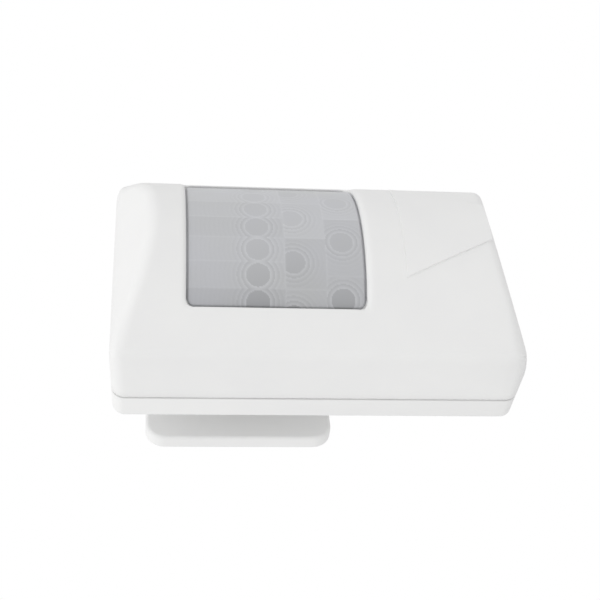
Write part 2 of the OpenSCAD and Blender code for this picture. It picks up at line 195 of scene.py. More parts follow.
def brushed_metal(name, light, dark, grain, roughness, relief):
    """A plated metal with faint clouds in its plating and fine marks from its making."""
    material, tree, place = start_material(name)
    cloud = node(tree, "ShaderNodeTexNoise", {"Vector": place, "Scale": 1 / (4 * grain), "Detail": 4})
    mark = node(tree, "ShaderNodeTexNoise", {"Vector": place, "Scale": 1 / grain, "Detail": 3})
    colour = node(tree, "ShaderNodeMix", {0: cloud.outputs["Fac"], 6: linear(light), 7: linear(dark)},
                  data_type="RGBA")
    gloss = node(tree, "ShaderNodeMapRange", {"Value": mark.outputs["Fac"],
                                              "To Min": roughness - 0.1, "To Max": roughness + 0.1})
    bump = node(tree, "ShaderNodeBump", {"Height": mark.outputs["Fac"], "Strength": 0.4,
                                         "Distance": relief})
    shader = node(tree, "ShaderNodeBsdfPrincipled",
                  {"Base Color": colour.outputs[2], "Roughness": gloss.outputs["Result"],
                   "Normal": bump.outputs["Normal"], "Metallic": 1.0})
    node(tree, "ShaderNodeOutputMaterial", {"Surface": shader.outputs["BSDF"]})
    return material


# Zinc-plated steel, barrel plated: a cool grey with soft clouds.
zinc_steel = brushed_metal("zinc_plated_steel", "#C9CCD0", "#A9ACAF", 0.4 * mm, 0.32, 0.01 * mm)


def finish_cad(name, material, width=0, segments=2):
    """Gives a CAD node its material, and breaks its edges where it has a width."""
    cad = nodes[name]
    cad.data.materials.clear()
    cad.data.materials.append(material)
    if width:
        weld = cad.modifiers.new("weld", "WELD")
        weld.merge_threshold = 0.002 * mm
        bevel = cad.modifiers.new("broken_edges", "BEVEL")
        bevel.limit_method = "ANGLE"
        bevel.angle_limit = math.radians(40)
        bevel.width = width
        bevel.segments = segments
        bevel.harden_normals = True


for name in ("pan_screw", "pan_nut", "tilt_screw", "tilt_nut", "cover_screws", "board_screws"):
    finish_cad(name, zinc_steel, 0.12 * mm)

# ---- Rear cover ----
# The shallow tray at the back that carries the board, with the ears of the level pivot.
# Moulded in white ABS; its back rim is rounded, and a lip inside centres the front cover.
back_y = -20.3 * mm
half_width = 37.25 * mm
crease = 26.6 * mm
end_crease = 22.2 * mm
depth = 46.5 * mm
parting = 8 * mm
wall = 1.8 * mm
lap_gap = 0.25 * mm
lip_thickness = 1.2 * mm
lip_height = 2 * mm
lip_chamfer = 0.2 * mm
back_taper = 1 * mm
top_end = 39 * mm
bottom_end = -81 * mm
top_lean = 11.2 * mm
bottom_lean = 10.5 * mm
corner = 4 * mm
# Roundings of the hood's edges; its end corners tighten by corner_taper above taper_start
end_round = 2.5 * mm
crease_round = 1.6 * mm
corner_taper = 1.9 * mm
taper_start = 24 * mm
taper_height = 12 * mm
shoulder = math.radians(41.7)
arch = half_width * math.sin(shoulder) + (crease - depth) * math.cos(shoulder)
arch /= 1 - math.cos(shoulder)
arch_centre = depth - arch
# Head pieces are made lying on their back, x across, y up the wall and z forward, then stood up.
stand_up = Matrix.Translation((0, back_y, 0)) @ Matrix.Rotation(math.radians(90), 4, "X")


def rounded_max(a, b, radius):
    """The greater of two distances, with a round where they are about equal."""
    return min(-radius, max(a, b)) + math.hypot(max(a + radius, 0), max(b + radius, 0))


def end_distance(beyond, z, at_crease, lean):
    """Distance outside one end: a nearly upright wall, then a slope that leans back above its crease."""
    rise = depth - at_crease
    upright = (beyond * at_crease - (z - at_crease) * back_taper) / math.hypot(at_crease, back_taper)
    slope = (beyond * rise + (z - at_crease) * lean) / math.hypot(rise, lean)
    return rounded_max(upright, slope, end_round)


def hood_distance(p):
    """Distance outside the hood's outer face, all its edges rounded."""
    x, y, z = abs(p[0]), p[1], p[2]
    side = ((x - half_width) * crease - (z - crease) * back_taper) / math.hypot(crease, back_taper)
    if math.atan2(x, z - arch_centre) < shoulder:
        front = math.hypot(x, z - arch_centre) - arch
    else:
        front = (x - half_width) * math.sin(shoulder) + (z - crease) * math.cos(shoulder)
    ends = max(end_distance(y - top_end, z, crease, top_lean),
               end_distance(bottom_end - y, z, end_crease, bottom_lean))
    share = min(max((z - taper_start) / taper_height, 0), 1)
    return rounded_max(rounded_max(side, front, crease_round), ends, corner - corner_taper * share)


def hood_normal(p):
    """The way out of the hood's outer face."""
    step = 0.01 * mm
    ahead = [Vector(p) + step * Vector(axis) for axis in ((1, 0, 0), (0, 1, 0), (0, 0, 1))]
    behind = [Vector(p) - step * Vector(axis) for axis in ((1, 0, 0), (0, 1, 0), (0, 0, 1))]
    return Vector([hood_distance(a) - hood_distance(b) for a, b in zip(ahead, behind)]) / (2 * step)


def onto_hood(p, level_only=False, inset=0):
    """The nearest point on the hood's outer face, or inset from it; if asked, at the same height."""
    p = Vector(p)
    for _ in range(6):
        way = hood_normal(p)
        if level_only:
            way.z = 0
        p -= way * (hood_distance(p) + inset) / max(way.length_squared, 0.05)
    return p


def loose_object(name, form):
    """A bmesh as an object that only shapes others."""
    bmesh.ops.recalc_face_normals(form, faces=form.faces)
    mesh = bpy.data.meshes.new(name)
    form.to_mesh(mesh)
    form.free()
    made = bpy.data.objects.new(name, mesh)
    bpy.context.scene.collection.objects.link(made)
    return made


def combine(piece, other, operation):
    """Adds another closed form to a piece, or cuts it away, and removes it."""
    step = piece.modifiers.new("combine", "BOOLEAN")
    step.operation = operation
    step.solver = "EXACT"
    step.object = other
    freeze(piece)
    bpy.data.objects.remove(other)


form = bmesh.new()
bmesh.ops.create_grid(form, x_segments=1, y_segments=1, size=1)
for v in form.verts:
    v.co = (v.co.x * half_width, (top_end + bottom_end) / 2 + v.co.y * (top_end - bottom_end) / 2, 0)
bmesh.ops.bevel(form, geom=form.verts[:], offset=corner, offset_type="OFFSET", segments=8, profile=0.5,
                affect="VERTICES", material=-1)
# The tray's outline goes up from its back as (inset, height): rounded rim, side, lip and inner side
back_round = 1.6 * mm
rings = [(back_round * (1 - math.sin(math.radians(t))), back_round * (1 - math.cos(math.radians(t))))
         for t in (0, 15, 30, 45, 60, 75, 90)]
rings += [(0, parting - 0.3 * mm), (0.08 * mm, parting - 0.1 * mm), (0.3 * mm, parting)]
lip_out = wall + lap_gap
lip_in = lip_out + lip_thickness
rings += [(lip_out, parting), (lip_out, parting + lip_height - lip_chamfer),
          (lip_out + lip_chamfer, parting + lip_height), (lip_in, parting + lip_height), (lip_in, wall)]
for v in form.verts:
    v.co = onto_hood(v.co, True, rings[0][0])
rim = list(form.edges)
for inset, height in rings[1:]:
    grown = bmesh.ops.extrude_edge_only(form, edges=rim)
    rim = [e for e in grown["geom"] if isinstance(e, bmesh.types.BMEdge) and e.is_boundary]
    for v in {v for e in rim for v in e.verts}:
        v.co = onto_hood((v.co.x, v.co.y, height), True, inset)
bmesh.ops.contextual_create(form, geom=rim)
bmesh.ops.recalc_face_normals(form, faces=form.faces)
rear_cover = new_piece("rear_cover_moulding", form, "head", white_abs)

# Ears of the level pivot, board pillars and screw pillars
ear_radius = 3.8 * mm
ear_thickness = 4 * mm
ear_middle = 6.2 * mm
pivot_height = -4.2 * mm
pivot_bore = 1.55 * mm
board_back = 5 * mm
board_pillar = 2.8 * mm
board_pilot = 1.1 * mm
cover_pillar = 3.4 * mm
cover_clearance = 1.7 * mm
head_clearance = 2.95 * mm
head_depth = 2.2 * mm
bung_place = (0, 30.6 * mm)
bung_hole = 3.05 * mm
board_screws = [(26.05 * mm, -59 * mm), (-26.05 * mm, 5 * mm)]
cover_screws = [(25.25 * mm, -72 * mm), (-25.25 * mm, -72 * mm)]
form = bmesh.new()
for side in (-1, 1):
    disc = bmesh.ops.create_circle(form, cap_ends=True, segments=48, radius=ear_radius)
    for v in disc["verts"]:
        if v.co.y > 0.01 * mm:
            v.co.y = wall / 2 - pivot_height
    face = disc["verts"][0].link_faces[0]
    grown = bmesh.ops.extrude_face_region(form, geom=[face])
    far = [v for v in grown["geom"] if isinstance(v, bmesh.types.BMVert)]
    bmesh.ops.translate(form, verts=far, vec=(0, 0, ear_thickness))
    place = Matrix.Translation((side * ear_middle - ear_thickness / 2, 0, pivot_height))
    lay = Matrix(((0, 0, 1, 0), (1, 0, 0, 0), (0, 1, 0, 0), (0, 0, 0, 1)))
    bmesh.ops.transform(form, matrix=place @ lay, verts=disc["verts"] + far)
pillars = ((board_screws, board_pillar, board_back), (cover_screws, cover_pillar, parting))
for spots, radius, height in pillars:
    for x, y in spots:
        middle = Matrix.Translation((x, y, (height + wall / 2) / 2))
        bmesh.ops.create_cone(form, cap_ends=True, segments=36, radius1=radius, radius2=radius,
                              depth=height - wall / 2, matrix=middle)
combine(rear_cover, loose_object("additions", form), "UNION")
form = bmesh.new()
level = Matrix.Translation((0, 0, pivot_height)) @ Matrix.Rotation(math.radians(90), 4, "Y")
bmesh.ops.create_cone(form, cap_ends=True, segments=36, radius1=pivot_bore, radius2=pivot_bore,
                      depth=30 * mm, matrix=level)
bores = [(bung_place, bung_hole, -1 * mm, 3 * mm)]
bores += [(at, board_pilot, wall, board_back + 1 * mm) for at in board_screws]
bores += [(at, cover_clearance, 1 * mm, parting + 1 * mm) for at in cover_screws]
for (x, y), radius, low, high in bores:
    bmesh.ops.create_cone(form, cap_ends=True, segments=36, radius1=radius, radius2=radius,
                          depth=high - low, matrix=Matrix.Translation((x, y, (low + high) / 2)))
combine(rear_cover, loose_object("bores", form), "DIFFERENCE")
form = bmesh.new()
for x, y in cover_screws:
    bmesh.ops.create_cone(form, cap_ends=True, segments=36, radius1=head_clearance,
                          radius2=head_clearance, depth=2 * head_depth, matrix=Matrix.Translation((x, y, 0)))
combine(rear_cover, loose_object("counterbores", form), "DIFFERENCE")
rear_cover.data.transform(stand_up)
smooth(rear_cover, 32)
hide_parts("rear_cover")

# ---- Cable bung ----
# The soft grommet around the cable's hole in the tray.
# Moulded in rubber, and pressed in so that its flange lies on the tray's inside.
# Grey rubber from a blasted mould: dull, with a slight unevenness.
grey_rubber = moulded_plastic("grey_rubber_matt", "#6B6C6E", "#5C5D5F", 3 * mm, 0.4 * mm, 0.7, 0.03 * mm)
finish_cad("cable_bung", grey_rubber, 0.25 * mm)

# ---- Circuit board ----
# The board with the sensor, its chip, the relay and the terminals, screwed to the tray's two pillars.
# Glass cloth and resin under green solder mask; the parts on it are soldered through or onto it.
# Solder mask: a thin glossy green lacquer, a little darker where it pools.
green_mask = moulded_plastic("green_solder_mask", "#1F5A3A", "#174A30", 5 * mm, 0.5 * mm, 0.3, 0.01 * mm)
finish_cad("circuit_board", green_mask)
# Drawn steel can, nickel plated: bright and warm, barely clouded.
nickel = brushed_metal("nickel_plated_can", "#D6D3CC", "#BDBAB3", 0.5 * mm, 0.2, 0.005 * mm)
finish_cad("pyro_sensor", nickel, 0.25 * mm, 3)
# The can's infrared filter: polished and almost black.
dark_glass = moulded_plastic("dark_filter_glass", "#2A2420", "#1C1815", 1 * mm, 0.3 * mm, 0.12, 0.002 * mm)
finish_cad("pyro_window", dark_glass)
# Cast tinted resin: smooth and glossy.
red_resin = moulded_plastic("red_led_resin", "#B01B14", "#8C120E", 2 * mm, 0.5 * mm, 0.15, 0.002 * mm)
finish_cad("led", red_resin)
# Glass-filled nylon: satin, with faint flow marks.
green_nylon = moulded_plastic("green_nylon", "#3F8F57", "#357C4B", 4 * mm, 0.4 * mm, 0.5, 0.02 * mm)
finish_cad("terminal_block", green_nylon, 0.15 * mm)
finish_cad("terminal_screws", zinc_steel, 0.08 * mm)
# Moulded polyester of relay cases and trimmers: satin blue.
blue_pbt = moulded_plastic("blue_pbt", "#2F5DA8", "#274F92", 4 * mm, 0.4 * mm, 0.45, 0.02 * mm)
finish_cad("relay", blue_pbt, 0.5 * mm, 3)
finish_cad("range_pot", blue_pbt, 0.2 * mm)
finish_cad("jumper_cap", blue_pbt, 0.15 * mm)
# Black moulded bodies and sleeves: dark, with a soft sheen.
black_nylon = moulded_plastic("black_nylon", "#1E1E20", "#161618", 3 * mm, 0.3 * mm, 0.5, 0.02 * mm)
finish_cad("tamper_switch", black_nylon, 0.2 * mm)
finish_cad("jumper_header", black_nylon, 0.08 * mm)
finish_cad("control_chip", black_nylon, 0.12 * mm)
finish_cad("capacitors", black_nylon, 0.4 * mm, 3)
finish_cad("resistors", black_nylon, 0.08 * mm)
# Unpigmented nylon of plungers and rotors: a warm cream.
cream_nylon = moulded_plastic("cream_nylon", "#E7DFC8", "#DCD3BA", 3 * mm, 0.3 * mm, 0.5, 0.02 * mm)
finish_cad("tamper_plunger", cream_nylon, 0.3 * mm, 3)
finish_cad("range_rotor", cream_nylon, 0.15 * mm)

# ---- Copper, solder and ink on the board ----
# Etched tracks that show through the mask, tinned ends and legs, and white outlines printed round the parts.
# The real layers are thinner still; each is drawn a few hundredths of a millimetre thick so that it shows.
board_top = board_back + 1.6 * mm
# Places of the parts on the board, in millimetres across and up from the swivel
terminal_place = (0, 19)
sensor_place = (0, -7.35)
light_place = (0, -21.35)
chip_place = (3, -31.35)
relay_place = (14, -43)
trimmer_place = (-20, -45)
header_place = (-4, -49)
switch_place = (20, -60)
# Each capacitor's place, radius and height
cans = [((-12, -28.35), 3.2, 9), ((21, -5.35), 2.5, 7)]
resistor_places = [(-20, 6.65 - 4 * k) for k in range(5)]
lead_heights = [chip_place[1] + (k - 3) * 1.27 for k in range(7)]


def strip(form, start, end, width, height=board_top):
    """A flat strip from one point to another, in millimetres on the board."""
    run = Vector(end) - Vector(start)
    middle = (Vector(start) + Vector(end)) / 2 * mm
    lay = Matrix.Translation((middle.x, middle.y, height))
    lay = lay @ Matrix.Rotation(math.atan2(run.y, run.x), 4, "Z")
    lay = lay @ Matrix.Diagonal(((run.length + width) / 2 * mm, width / 2 * mm, 1, 1))
    bmesh.ops.create_grid(form, x_segments=1, y_segments=1, size=1, matrix=lay)


def circle_line(form, at, radius, width):
    """A flat ring, in millimetres on the board."""
    middle = Vector((at[0] * mm, at[1] * mm, board_top))
    circle = bmesh.ops.create_circle(form, segments=40, radius=radius * mm,
                                     matrix=Matrix.Translation(middle))
    inner_edges = {e for v in circle["verts"] for e in v.link_edges}
    grown = bmesh.ops.extrude_edge_only(form, edges=list(inner_edges))
    for v in [v for v in grown["geom"] if isinstance(v, bmesh.types.BMVert)]:
        v.co = middle + (v.co - middle) * (1 + width / radius)


def layer(name, form, thickness, material):
    """Turns flat shapes on the board into a thin solid layer that moves with it."""
    for face in form.faces:
        face.normal_update()
        if face.normal.z < 0:
            face.normal_flip()
    bmesh.ops.transform(form, matrix=stand_up, verts=form.verts)
    piece = new_piece(name, form, "head", material)
    thick = piece.modifiers.new("thickness", "SOLIDIFY")
    thick.thickness = thickness
    thick.offset = 1
    freeze(piece)
    return piece


# Tracks run from the terminals and between the parts, bent at 45 degrees as a board is routed.
routes = [[(-12.7, 14), (-12.7, 10), (-17, 5.7), (-17, -38)], [(-7.6, 14), (-7.6, 4), (-9, 2.6), (-9, -24)],
          [(-2.5, 14), (-2.5, 6), (-6.5, 2), (-6.5, -12), (-4, -14.5), (-4, -27)],
          [(2.5, 14), (2.5, 6), (6.5, 2), (6.5, -17), (8, -18.5), (8, -36)],
          [(7.6, 14), (7.6, 4), (12, -0.4), (12, -30)], [(12.7, 14), (12.7, 8), (16, 4.7), (16, -32)],
          [(21, -9), (21, -22), (17.5, -25.5), (17.5, -32)],
          [(-1.5, -37), (-1.5, -42), (-4, -44.5), (-4, -47)],
          [(1, -37), (1, -50), (4, -53), (14, -53)], [(-14.5, -45), (-9, -45), (-6.5, -47.5)],
          [(-21.6, -10), (-27, -10), (-28.5, -11.5), (-28.5, -58), (-25, -61.5), (14, -61.5), (16, -60)],
          [(-24, -40.5), (-24, -22), (-21.6, -19.6), (-21.6, -10)], [(5, -36), (5, -44), (8, -47)],
          [(26, 20), (28.5, 17.5), (28.5, -50), (24, -54.5), (23.5, -59)],
          [(-21.6, 6.7), (-25, 10), (-25, 18)],
          [(17, 17), (23, 17), (26, 20)], [(0, -18), (0, -15)], [(-14, -34), (-14, -41), (-16, -43)]]
form = bmesh.new()
for route in routes:
    for start, end in zip(route, route[1:]):
        strip(form, start, end, 0.7)
plated_holes = [(-17, -10), (-9, -16), (12, -14), (16, -20), (28.5, -30), (-28.5, -40), (1, -46),
                (21, -18)]
for hole in plated_holes:
    circle_line(form, hole, 0.3, 0.55)
# Copper seen through the mask: a lighter green than the bare board.
masked_copper = moulded_plastic("mask_over_copper", "#35784C", "#2C6B43", 5 * mm, 0.5 * mm, 0.28,
                                0.01 * mm)
layer("board_tracks", form, 0.05 * mm, masked_copper)

form = bmesh.new()
outlines = [(relay_place, 5.6, 10.6), (trimmer_place, 5.1, 5.1), (chip_place, 4.6, 5.2),
            (header_place, 4.4, 1.9), (switch_place, 3.6, 3.6), (terminal_place, 15.9, 4.6)]
round_trip = ((-1, -1), (1, -1), (1, 1), (-1, 1), (-1, -1))
for (x, y), half_across, half_up in outlines:
    corners = [(x + a * half_across, y + b * half_up) for a, b in round_trip]
    for start, end in zip(corners, corners[1:]):
        strip(form, start, end, 0.2)
for x, y in resistor_places:
    for side in (-1.3, 1.3):
        strip(form, (x - 2.4, y + side), (x + 2.4, y + side), 0.15)
for at, radius, height in cans + [(sensor_place, 4.7, 0), (light_place, 1.9, 0)]:
    circle_line(form, at, radius + 0.4, 0.2)
# Screen-printed epoxy ink: flat, slightly broken white.
white_ink = moulded_plastic("white_board_ink", "#E4E6E2", "#D3D6D0", 2 * mm, 0.3 * mm, 0.6, 0.01 * mm)
layer("board_print", form, 0.03 * mm, white_ink)

form = bmesh.new()
for y in lead_heights:
    for side in (-1, 1):
        strip(form, (chip_place[0] + side * 3.1, y), (chip_place[0] + side * 4.3, y), 0.5)
for x, y in resistor_places:
    strip(form, (x - 2.1, y), (x + 2.1, y), 1.5)
# Solder that has flowed and set: bright, with a slightly rippled skin.
tinned_solder = brushed_metal("tinned_solder", "#D5D6D6", "#B7B9BA", 0.6 * mm, 0.25, 0.02 * mm)
layer("solder_pads", form, 0.06 * mm, tinned_solder)

# Gull-wing legs of the chip, and the tinned ends of the resistors
form = bmesh.new()
# The near and far end of each part of a leg from the chip's side, and its lowest and highest point
leg_parts = [(0.2, 0.8, 0.7, 0.9), (0.6, 0.8, 0.1, 0.9), (0.6, 1.2, 0.06, 0.24)]
blocks = [(chip_place[0] + side * (3 + (near + far) / 2), y, far - near, 0.42, low, high)
          for side in (-1, 1) for y in lead_heights for near, far, low, high in leg_parts]
blocks += [(x + side * 1.36, y, 0.5, 1.66, 0.02, 0.63) for side in (-1, 1) for x, y in resistor_places]
for x, y, wide, tall, low, high in blocks:
    lay = Matrix.Translation((x * mm, y * mm, board_top + (low + high) / 2 * mm))
    lay = lay @ Matrix.Diagonal((wide * mm, tall * mm, (high - low) * mm, 1))
    bmesh.ops.create_cube(form, size=1, matrix=lay)
bmesh.ops.bevel(form, geom=form.edges[:], offset=0.05 * mm, offset_type="OFFSET", segments=1, profile=0.5,
                affect="EDGES", material=-1)
bmesh.ops.transform(form, matrix=stand_up, verts=form.verts)
# Tin plate on stamped copper: pale and satin.
tinned_legs = brushed_metal("tin_plated_lead", "#CFD0D0", "#B4B5B6", 0.5 * mm, 0.3, 0.01 * mm)
new_piece("legs_and_ends", form, "head", tinned_legs)

# Bare aluminium tops of the capacitors, scored with a cross, and the pale stripe down each sleeve
form = bmesh.new()
for (x, y), radius, height in cans:
    lid = Matrix.Translation((x * mm, y * mm, board_top + height * mm))
    top = bmesh.ops.create_circle(form, cap_ends=True, segments=40, radius=(radius - 0.45) * mm, matrix=lid)
    cap = top["verts"][0].link_faces[0]
    grown = bmesh.ops.extrude_face_region(form, geom=[cap])
    risen = [v for v in grown["geom"] if isinstance(v, bmesh.types.BMVert)]
    bmesh.ops.translate(form, verts=risen, vec=(0, 0, 0.06 * mm))
    bmesh.ops.inset_region(form, faces=[f for f in grown["geom"] if isinstance(f, bmesh.types.BMFace)],
                           thickness=0.3 * mm, depth=-0.03 * mm)
    for turned in (45, 135):
        arm = Matrix.Translation((x * mm, y * mm, board_top + (height + 0.045) * mm))
        arm = arm @ Matrix.Rotation(math.radians(turned), 4, "Z")
        arm = arm @ Matrix.Diagonal(((2 * radius - 1.8) * mm, 0.22 * mm, 0.06 * mm, 1))
        bmesh.ops.create_cube(form, size=1, matrix=arm)
bmesh.ops.recalc_face_normals(form, faces=form.faces)
bmesh.ops.transform(form, matrix=stand_up, verts=form.verts)
# Rolled and pressed aluminium: pale, with fine marks.
rolled_aluminium = brushed_metal("rolled_aluminium", "#DCDDDD", "#C6C8C9", 0.4 * mm, 0.35, 0.01 * mm)
smooth(new_piece("capacitor_tops", form, "head", rolled_aluminium))
form = bmesh.new()
for (x, y), radius, height in cans:
    line = [form.verts.new((x * mm, (y - radius) * mm, board_top + z * mm)) for z in (0.2, height - 0.5)]
    bmesh.ops.spin(form, geom=line + [form.edges.new(line)], cent=(x * mm, y * mm, 0), axis=(0, 0, 1),
                   angle=math.radians(46), steps=10, use_merge=False)
bmesh.ops.recalc_face_normals(form, faces=form.faces)
bmesh.ops.transform(form, matrix=stand_up, verts=form.verts)
stripes = new_piece("capacitor_stripes", form, "head", white_ink)
thick = stripes.modifiers.new("thickness", "SOLIDIFY")
thick.thickness = 0.06 * mm
thick.offset = 0
freeze(stripes)
smooth(stripes)

# ---- Front cover ----
# The arched hood: side walls up to a soft crease, straight shoulders and a round crown, both ends sloped.
# Moulded in white ABS, 1.8 mm thick; the window is cut through its crown, with a broad soft edge below it.
window_low = -32.7 * mm
window_high = 18 * mm
window_half = 27 * mm
window_corner = 2.2 * mm
# Rounding of the window's edge, in millimetres: at its sides, and how much more below and above
side_round = 0.7
more_below = 1.4
more_above = 0.8
# It cuts no deeper than this into the wall
round_depth = 1.4 * mm
# How far the cover's edge is broken at the parting line, and how high that edge lies
seam_break = 0.25 * mm
seam = parting + 0.45 * mm
# The mesh lines bent round the window's corners straighten out over this distance, those of the plan never
window_fade = 7 * mm
no_fade = 1000


def crown_depth(x):
    """How far forward the arch and its shoulders stand at x."""
    edge = arch * math.sin(shoulder)
    if abs(x) < edge:
        return arch_centre + math.sqrt(arch**2 - x**2)
    return arch_centre + arch * math.cos(shoulder) - (abs(x) - edge) * math.tan(shoulder)


def even(start, end, step):
    """Places from start up to but without end, about a step apart."""
    count = max(1, round((end - start) / step))
    return [start + (end - start) * k / count for k in range(count)]


def rounded_corner(x, y, centre_x, centre_y, radius, fade):
    """Bends square rings around a corner into round ones, less and less beyond its radius."""
    a, b = (abs(x) - centre_x), (y - centre_y[0]) * centre_y[1]
    if a <= 0 or b <= 0:
        return x, y
    ring = max(a, b)
    turn = math.pi / 4 * (b / a if a >= b else 2 - a / b)
    share = min(max((radius + fade - ring) / fade, 0), 1)
    share *= share * (3 - 2 * share)
    a += (ring * math.cos(turn) - a) * share
    b += (ring * math.sin(turn) - b) * share
    return math.copysign(centre_x + a, x), centre_y[0] + b * centre_y[1]


# Lines of the mesh across and up the wall: close together where an edge is rounded
near_edge = [d * mm for d in (0, 0.1, 0.25, 0.45, 0.7, 1.0, 1.4, 1.9, 2.5, 3.2)]
near_window = [d * mm for d in (0, 0.04, 0.12, 0.24, 0.38, 0.55, 0.8, 1.1, 1.45, 1.85, 2.4)]
across = even(0, window_half - 1 * mm, 0.8 * mm) + even(window_half - 1 * mm, window_half, 0.5 * mm)
across += [window_half + d for d in near_window]
across += even(window_half + 3 * mm, half_width - corner, 0.7 * mm)
across += [half_width - d for d in [corner] + near_edge[::-1]]
across = [-x for x in across[:0:-1]] + across
up_wall = [bottom_end + d for d in near_edge] + even(bottom_end + corner, bottom_end + 14 * mm, 0.45 * mm)
up_wall += even(bottom_end + 14 * mm, window_low - 3 * mm, 1.2 * mm)
up_wall += [window_low - d for d in near_window[::-1]]
up_wall += even(window_low + 0.7 * mm, window_high - 0.7 * mm, 1.2 * mm)
up_wall += [window_high - 0.7 * mm] + [window_high + d for d in near_window]
up_wall += even(window_high + 3 * mm, top_end - 13 * mm, 1.0 * mm)
up_wall += even(top_end - 13 * mm, top_end - corner, 0.45 * mm)
up_wall += [top_end - d for d in [corner] + near_edge[::-1]]

form = bmesh.new()
bmesh.ops.create_grid(form, x_segments=len(across) - 1, y_segments=len(up_wall) - 1, size=1)
beyond = form.verts.layers.float.new("beyond_window")
for v in form.verts:
    x = across[round((v.co.x + 1) / 2 * (len(across) - 1))]
    y = up_wall[round((v.co.y + 1) / 2 * (len(up_wall) - 1))]
    v[beyond] = max(abs(x) - window_half, window_low - y, y - window_high)
    v.co = (x, y, 0)
inside = [f for f in form.faces if min(v[beyond] for v in f.verts) < -0.001 * mm]
bmesh.ops.delete(form, geom=inside, context="FACES")
for v in form.verts:
    x, y = v.co.x, v.co.y
    for end, out in ((window_low, -1), (window_high, 1)):
        x, y = rounded_corner(x, y, window_half - window_corner, (end - out * window_corner, out),
                              window_corner, window_fade)
    for end, out in ((bottom_end, -1), (top_end, 1)):
        x, y = rounded_corner(x, y, half_width - corner, (end - out * corner, out), corner, no_fade)
    slopes = (crease + (top_end - y) * (depth - crease) / top_lean,
              end_crease + (y - bottom_end) * (depth - end_crease) / bottom_lean)
    v.co = (x, y, min(crown_depth(x), *slopes))
    v[beyond] = max(v[beyond], 0)

# The side walls go down from the rim of that sheet to the parting line
rim = [e for e in form.edges if e.is_boundary and max(v[beyond] for v in e.verts) > 5 * mm]
rim_height = {v: v.co.z for e in rim for v in e.verts}
crown_verts = set(form.verts)
for share in (0.03, 0.07, 0.12, 0.2, 0.35, 0.6, 0.8, 0.98, 1):
    grown = bmesh.ops.extrude_edge_only(form, edges=rim)
    rim = [e for e in grown["geom"] if isinstance(e, bmesh.types.BMEdge) and e.is_boundary]
    fresh = {v for e in rim for v in e.verts}
    below = {v: next(e.other_vert(v) for e in v.link_edges if e.other_vert(v) not in fresh) for v in fresh}
    rim_height.update({v: rim_height[below[v]] for v in fresh})
    for v in fresh:
        v.co.z = rim_height[v] + (seam - rim_height[v]) * share
last_ring = {v for e in rim for v in e.verts}
bmesh.ops.recalc_face_normals(form, faces=form.faces)
for v in form.verts:
    v.co = onto_hood(v.co, v not in crown_verts, seam_break if v in last_ring else 0)

# The inner face lies one wall's thickness inside; both meet at the parting line and in the window
outer = list(form.verts)
copied = bmesh.ops.duplicate(form, geom=form.verts[:] + form.edges[:] + form.faces[:])
twin = copied["vert_map"]
inner_faces = [f for f in copied["geom"] if isinstance(f, bmesh.types.BMFace)]
bmesh.ops.reverse_faces(form, faces=inner_faces)
for v in outer:
    way = hood_normal(v.co).normalized()
    if v.is_boundary and v[beyond] < 0.001 * mm:
        twin[v].co = v.co - Vector((0, 0, wall / way.z))
    elif v.is_boundary:
        flat = Vector((way.x, way.y, 0)).normalized()
        twin[v].co = v.co - flat * (wall - seam_break)
    else:
        twin[v].co = v.co - way * wall
for v in outer:
    low_side = min(max((window_low + window_corner - v.co.y) / window_corner, 0), 1)
    high_side = min(max((v.co.y - window_high + window_corner) / window_corner, 0), 1)
    radius = (side_round + more_below * low_side + more_above * high_side) * mm
    if v[beyond] < radius:
        v.co.z -= min(radius, round_depth) * (1 - math.sqrt(1 - (1 - v[beyond] / radius) ** 2))
open_edges = [e for e in form.edges if e.is_boundary]
window_rim = [e for e in open_edges if max(v[beyond] for v in e.verts) < 0.001 * mm]
parting_rim = [e for e in open_edges if max(v[beyond] for v in e.verts) >= 0.001 * mm]
bmesh.ops.bridge_loops(form, edges=window_rim)
bmesh.ops.bridge_loops(form, edges=parting_rim)
bmesh.ops.recalc_face_normals(form, faces=form.faces)
bmesh.ops.transform(form, matrix=stand_up, verts=form.verts)
front_cover = new_piece("front_cover_moulding", form, "front", white_abs)
smooth(front_cover, 50)
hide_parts("front_cover")

# ---- Posts in the front cover ----
# Two posts that take the cover screws and a thinner one that holds the tamper plunger down.
# All are part of the white moulding and reach from the crown down to the board's side.
screw_bore = 1.5 * mm
bore_depth = 12 * mm
mouth_chamfer = 0.4 * mm
post_chamfer = 0.3 * mm
posts = [((x, y, parting + lap_gap), cover_pillar, screw_bore) for x, y in cover_screws]
posts += [((switch_place[0] * mm, switch_place[1] * mm, 14.7 * mm), 2 * mm, 0)]
form = bmesh.new()
for foot, radius, bore in posts:
    foot = Vector(foot)
    # Rings as (radius, height), from the blind end of the bore round the mouth and up to the crown
    steps = [(radius - post_chamfer, 0), (radius, post_chamfer), (radius, None)]
    if bore:
        steps = [(bore, bore_depth), (bore, mouth_chamfer), (bore + mouth_chamfer, 0)] + steps
    first = Matrix.Translation(foot + Vector((0, 0, steps[0][1])))
    circle = bmesh.ops.create_circle(form, cap_ends=True, segments=36, radius=steps[0][0], matrix=first)
    rim = list(circle["verts"][0].link_faces[0].edges)
    for ring_radius, height in steps[1:]:
        grown = bmesh.ops.extrude_edge_only(form, edges=rim)
        fresh = [v for v in grown["geom"] if isinstance(v, bmesh.types.BMVert)]
        rim = [e for e in grown["geom"] if isinstance(e, bmesh.types.BMEdge)
               and e.verts[0] in fresh and e.verts[1] in fresh]
        for v in fresh:
            way = Vector((v.co.x - foot.x, v.co.y - foot.y, 0)).normalized()
            v.co = foot + way * ring_radius + Vector((0, 0, height or 0))
            if height is None:
                v.co.z = depth - wall
                for _ in range(12):
                    v.co.z -= (hood_distance(v.co) + 0.6 * wall) / max(hood_normal(v.co).z, 0.3)
    bmesh.ops.contextual_create(form, geom=rim)
bmesh.ops.recalc_face_normals(form, faces=form.faces)
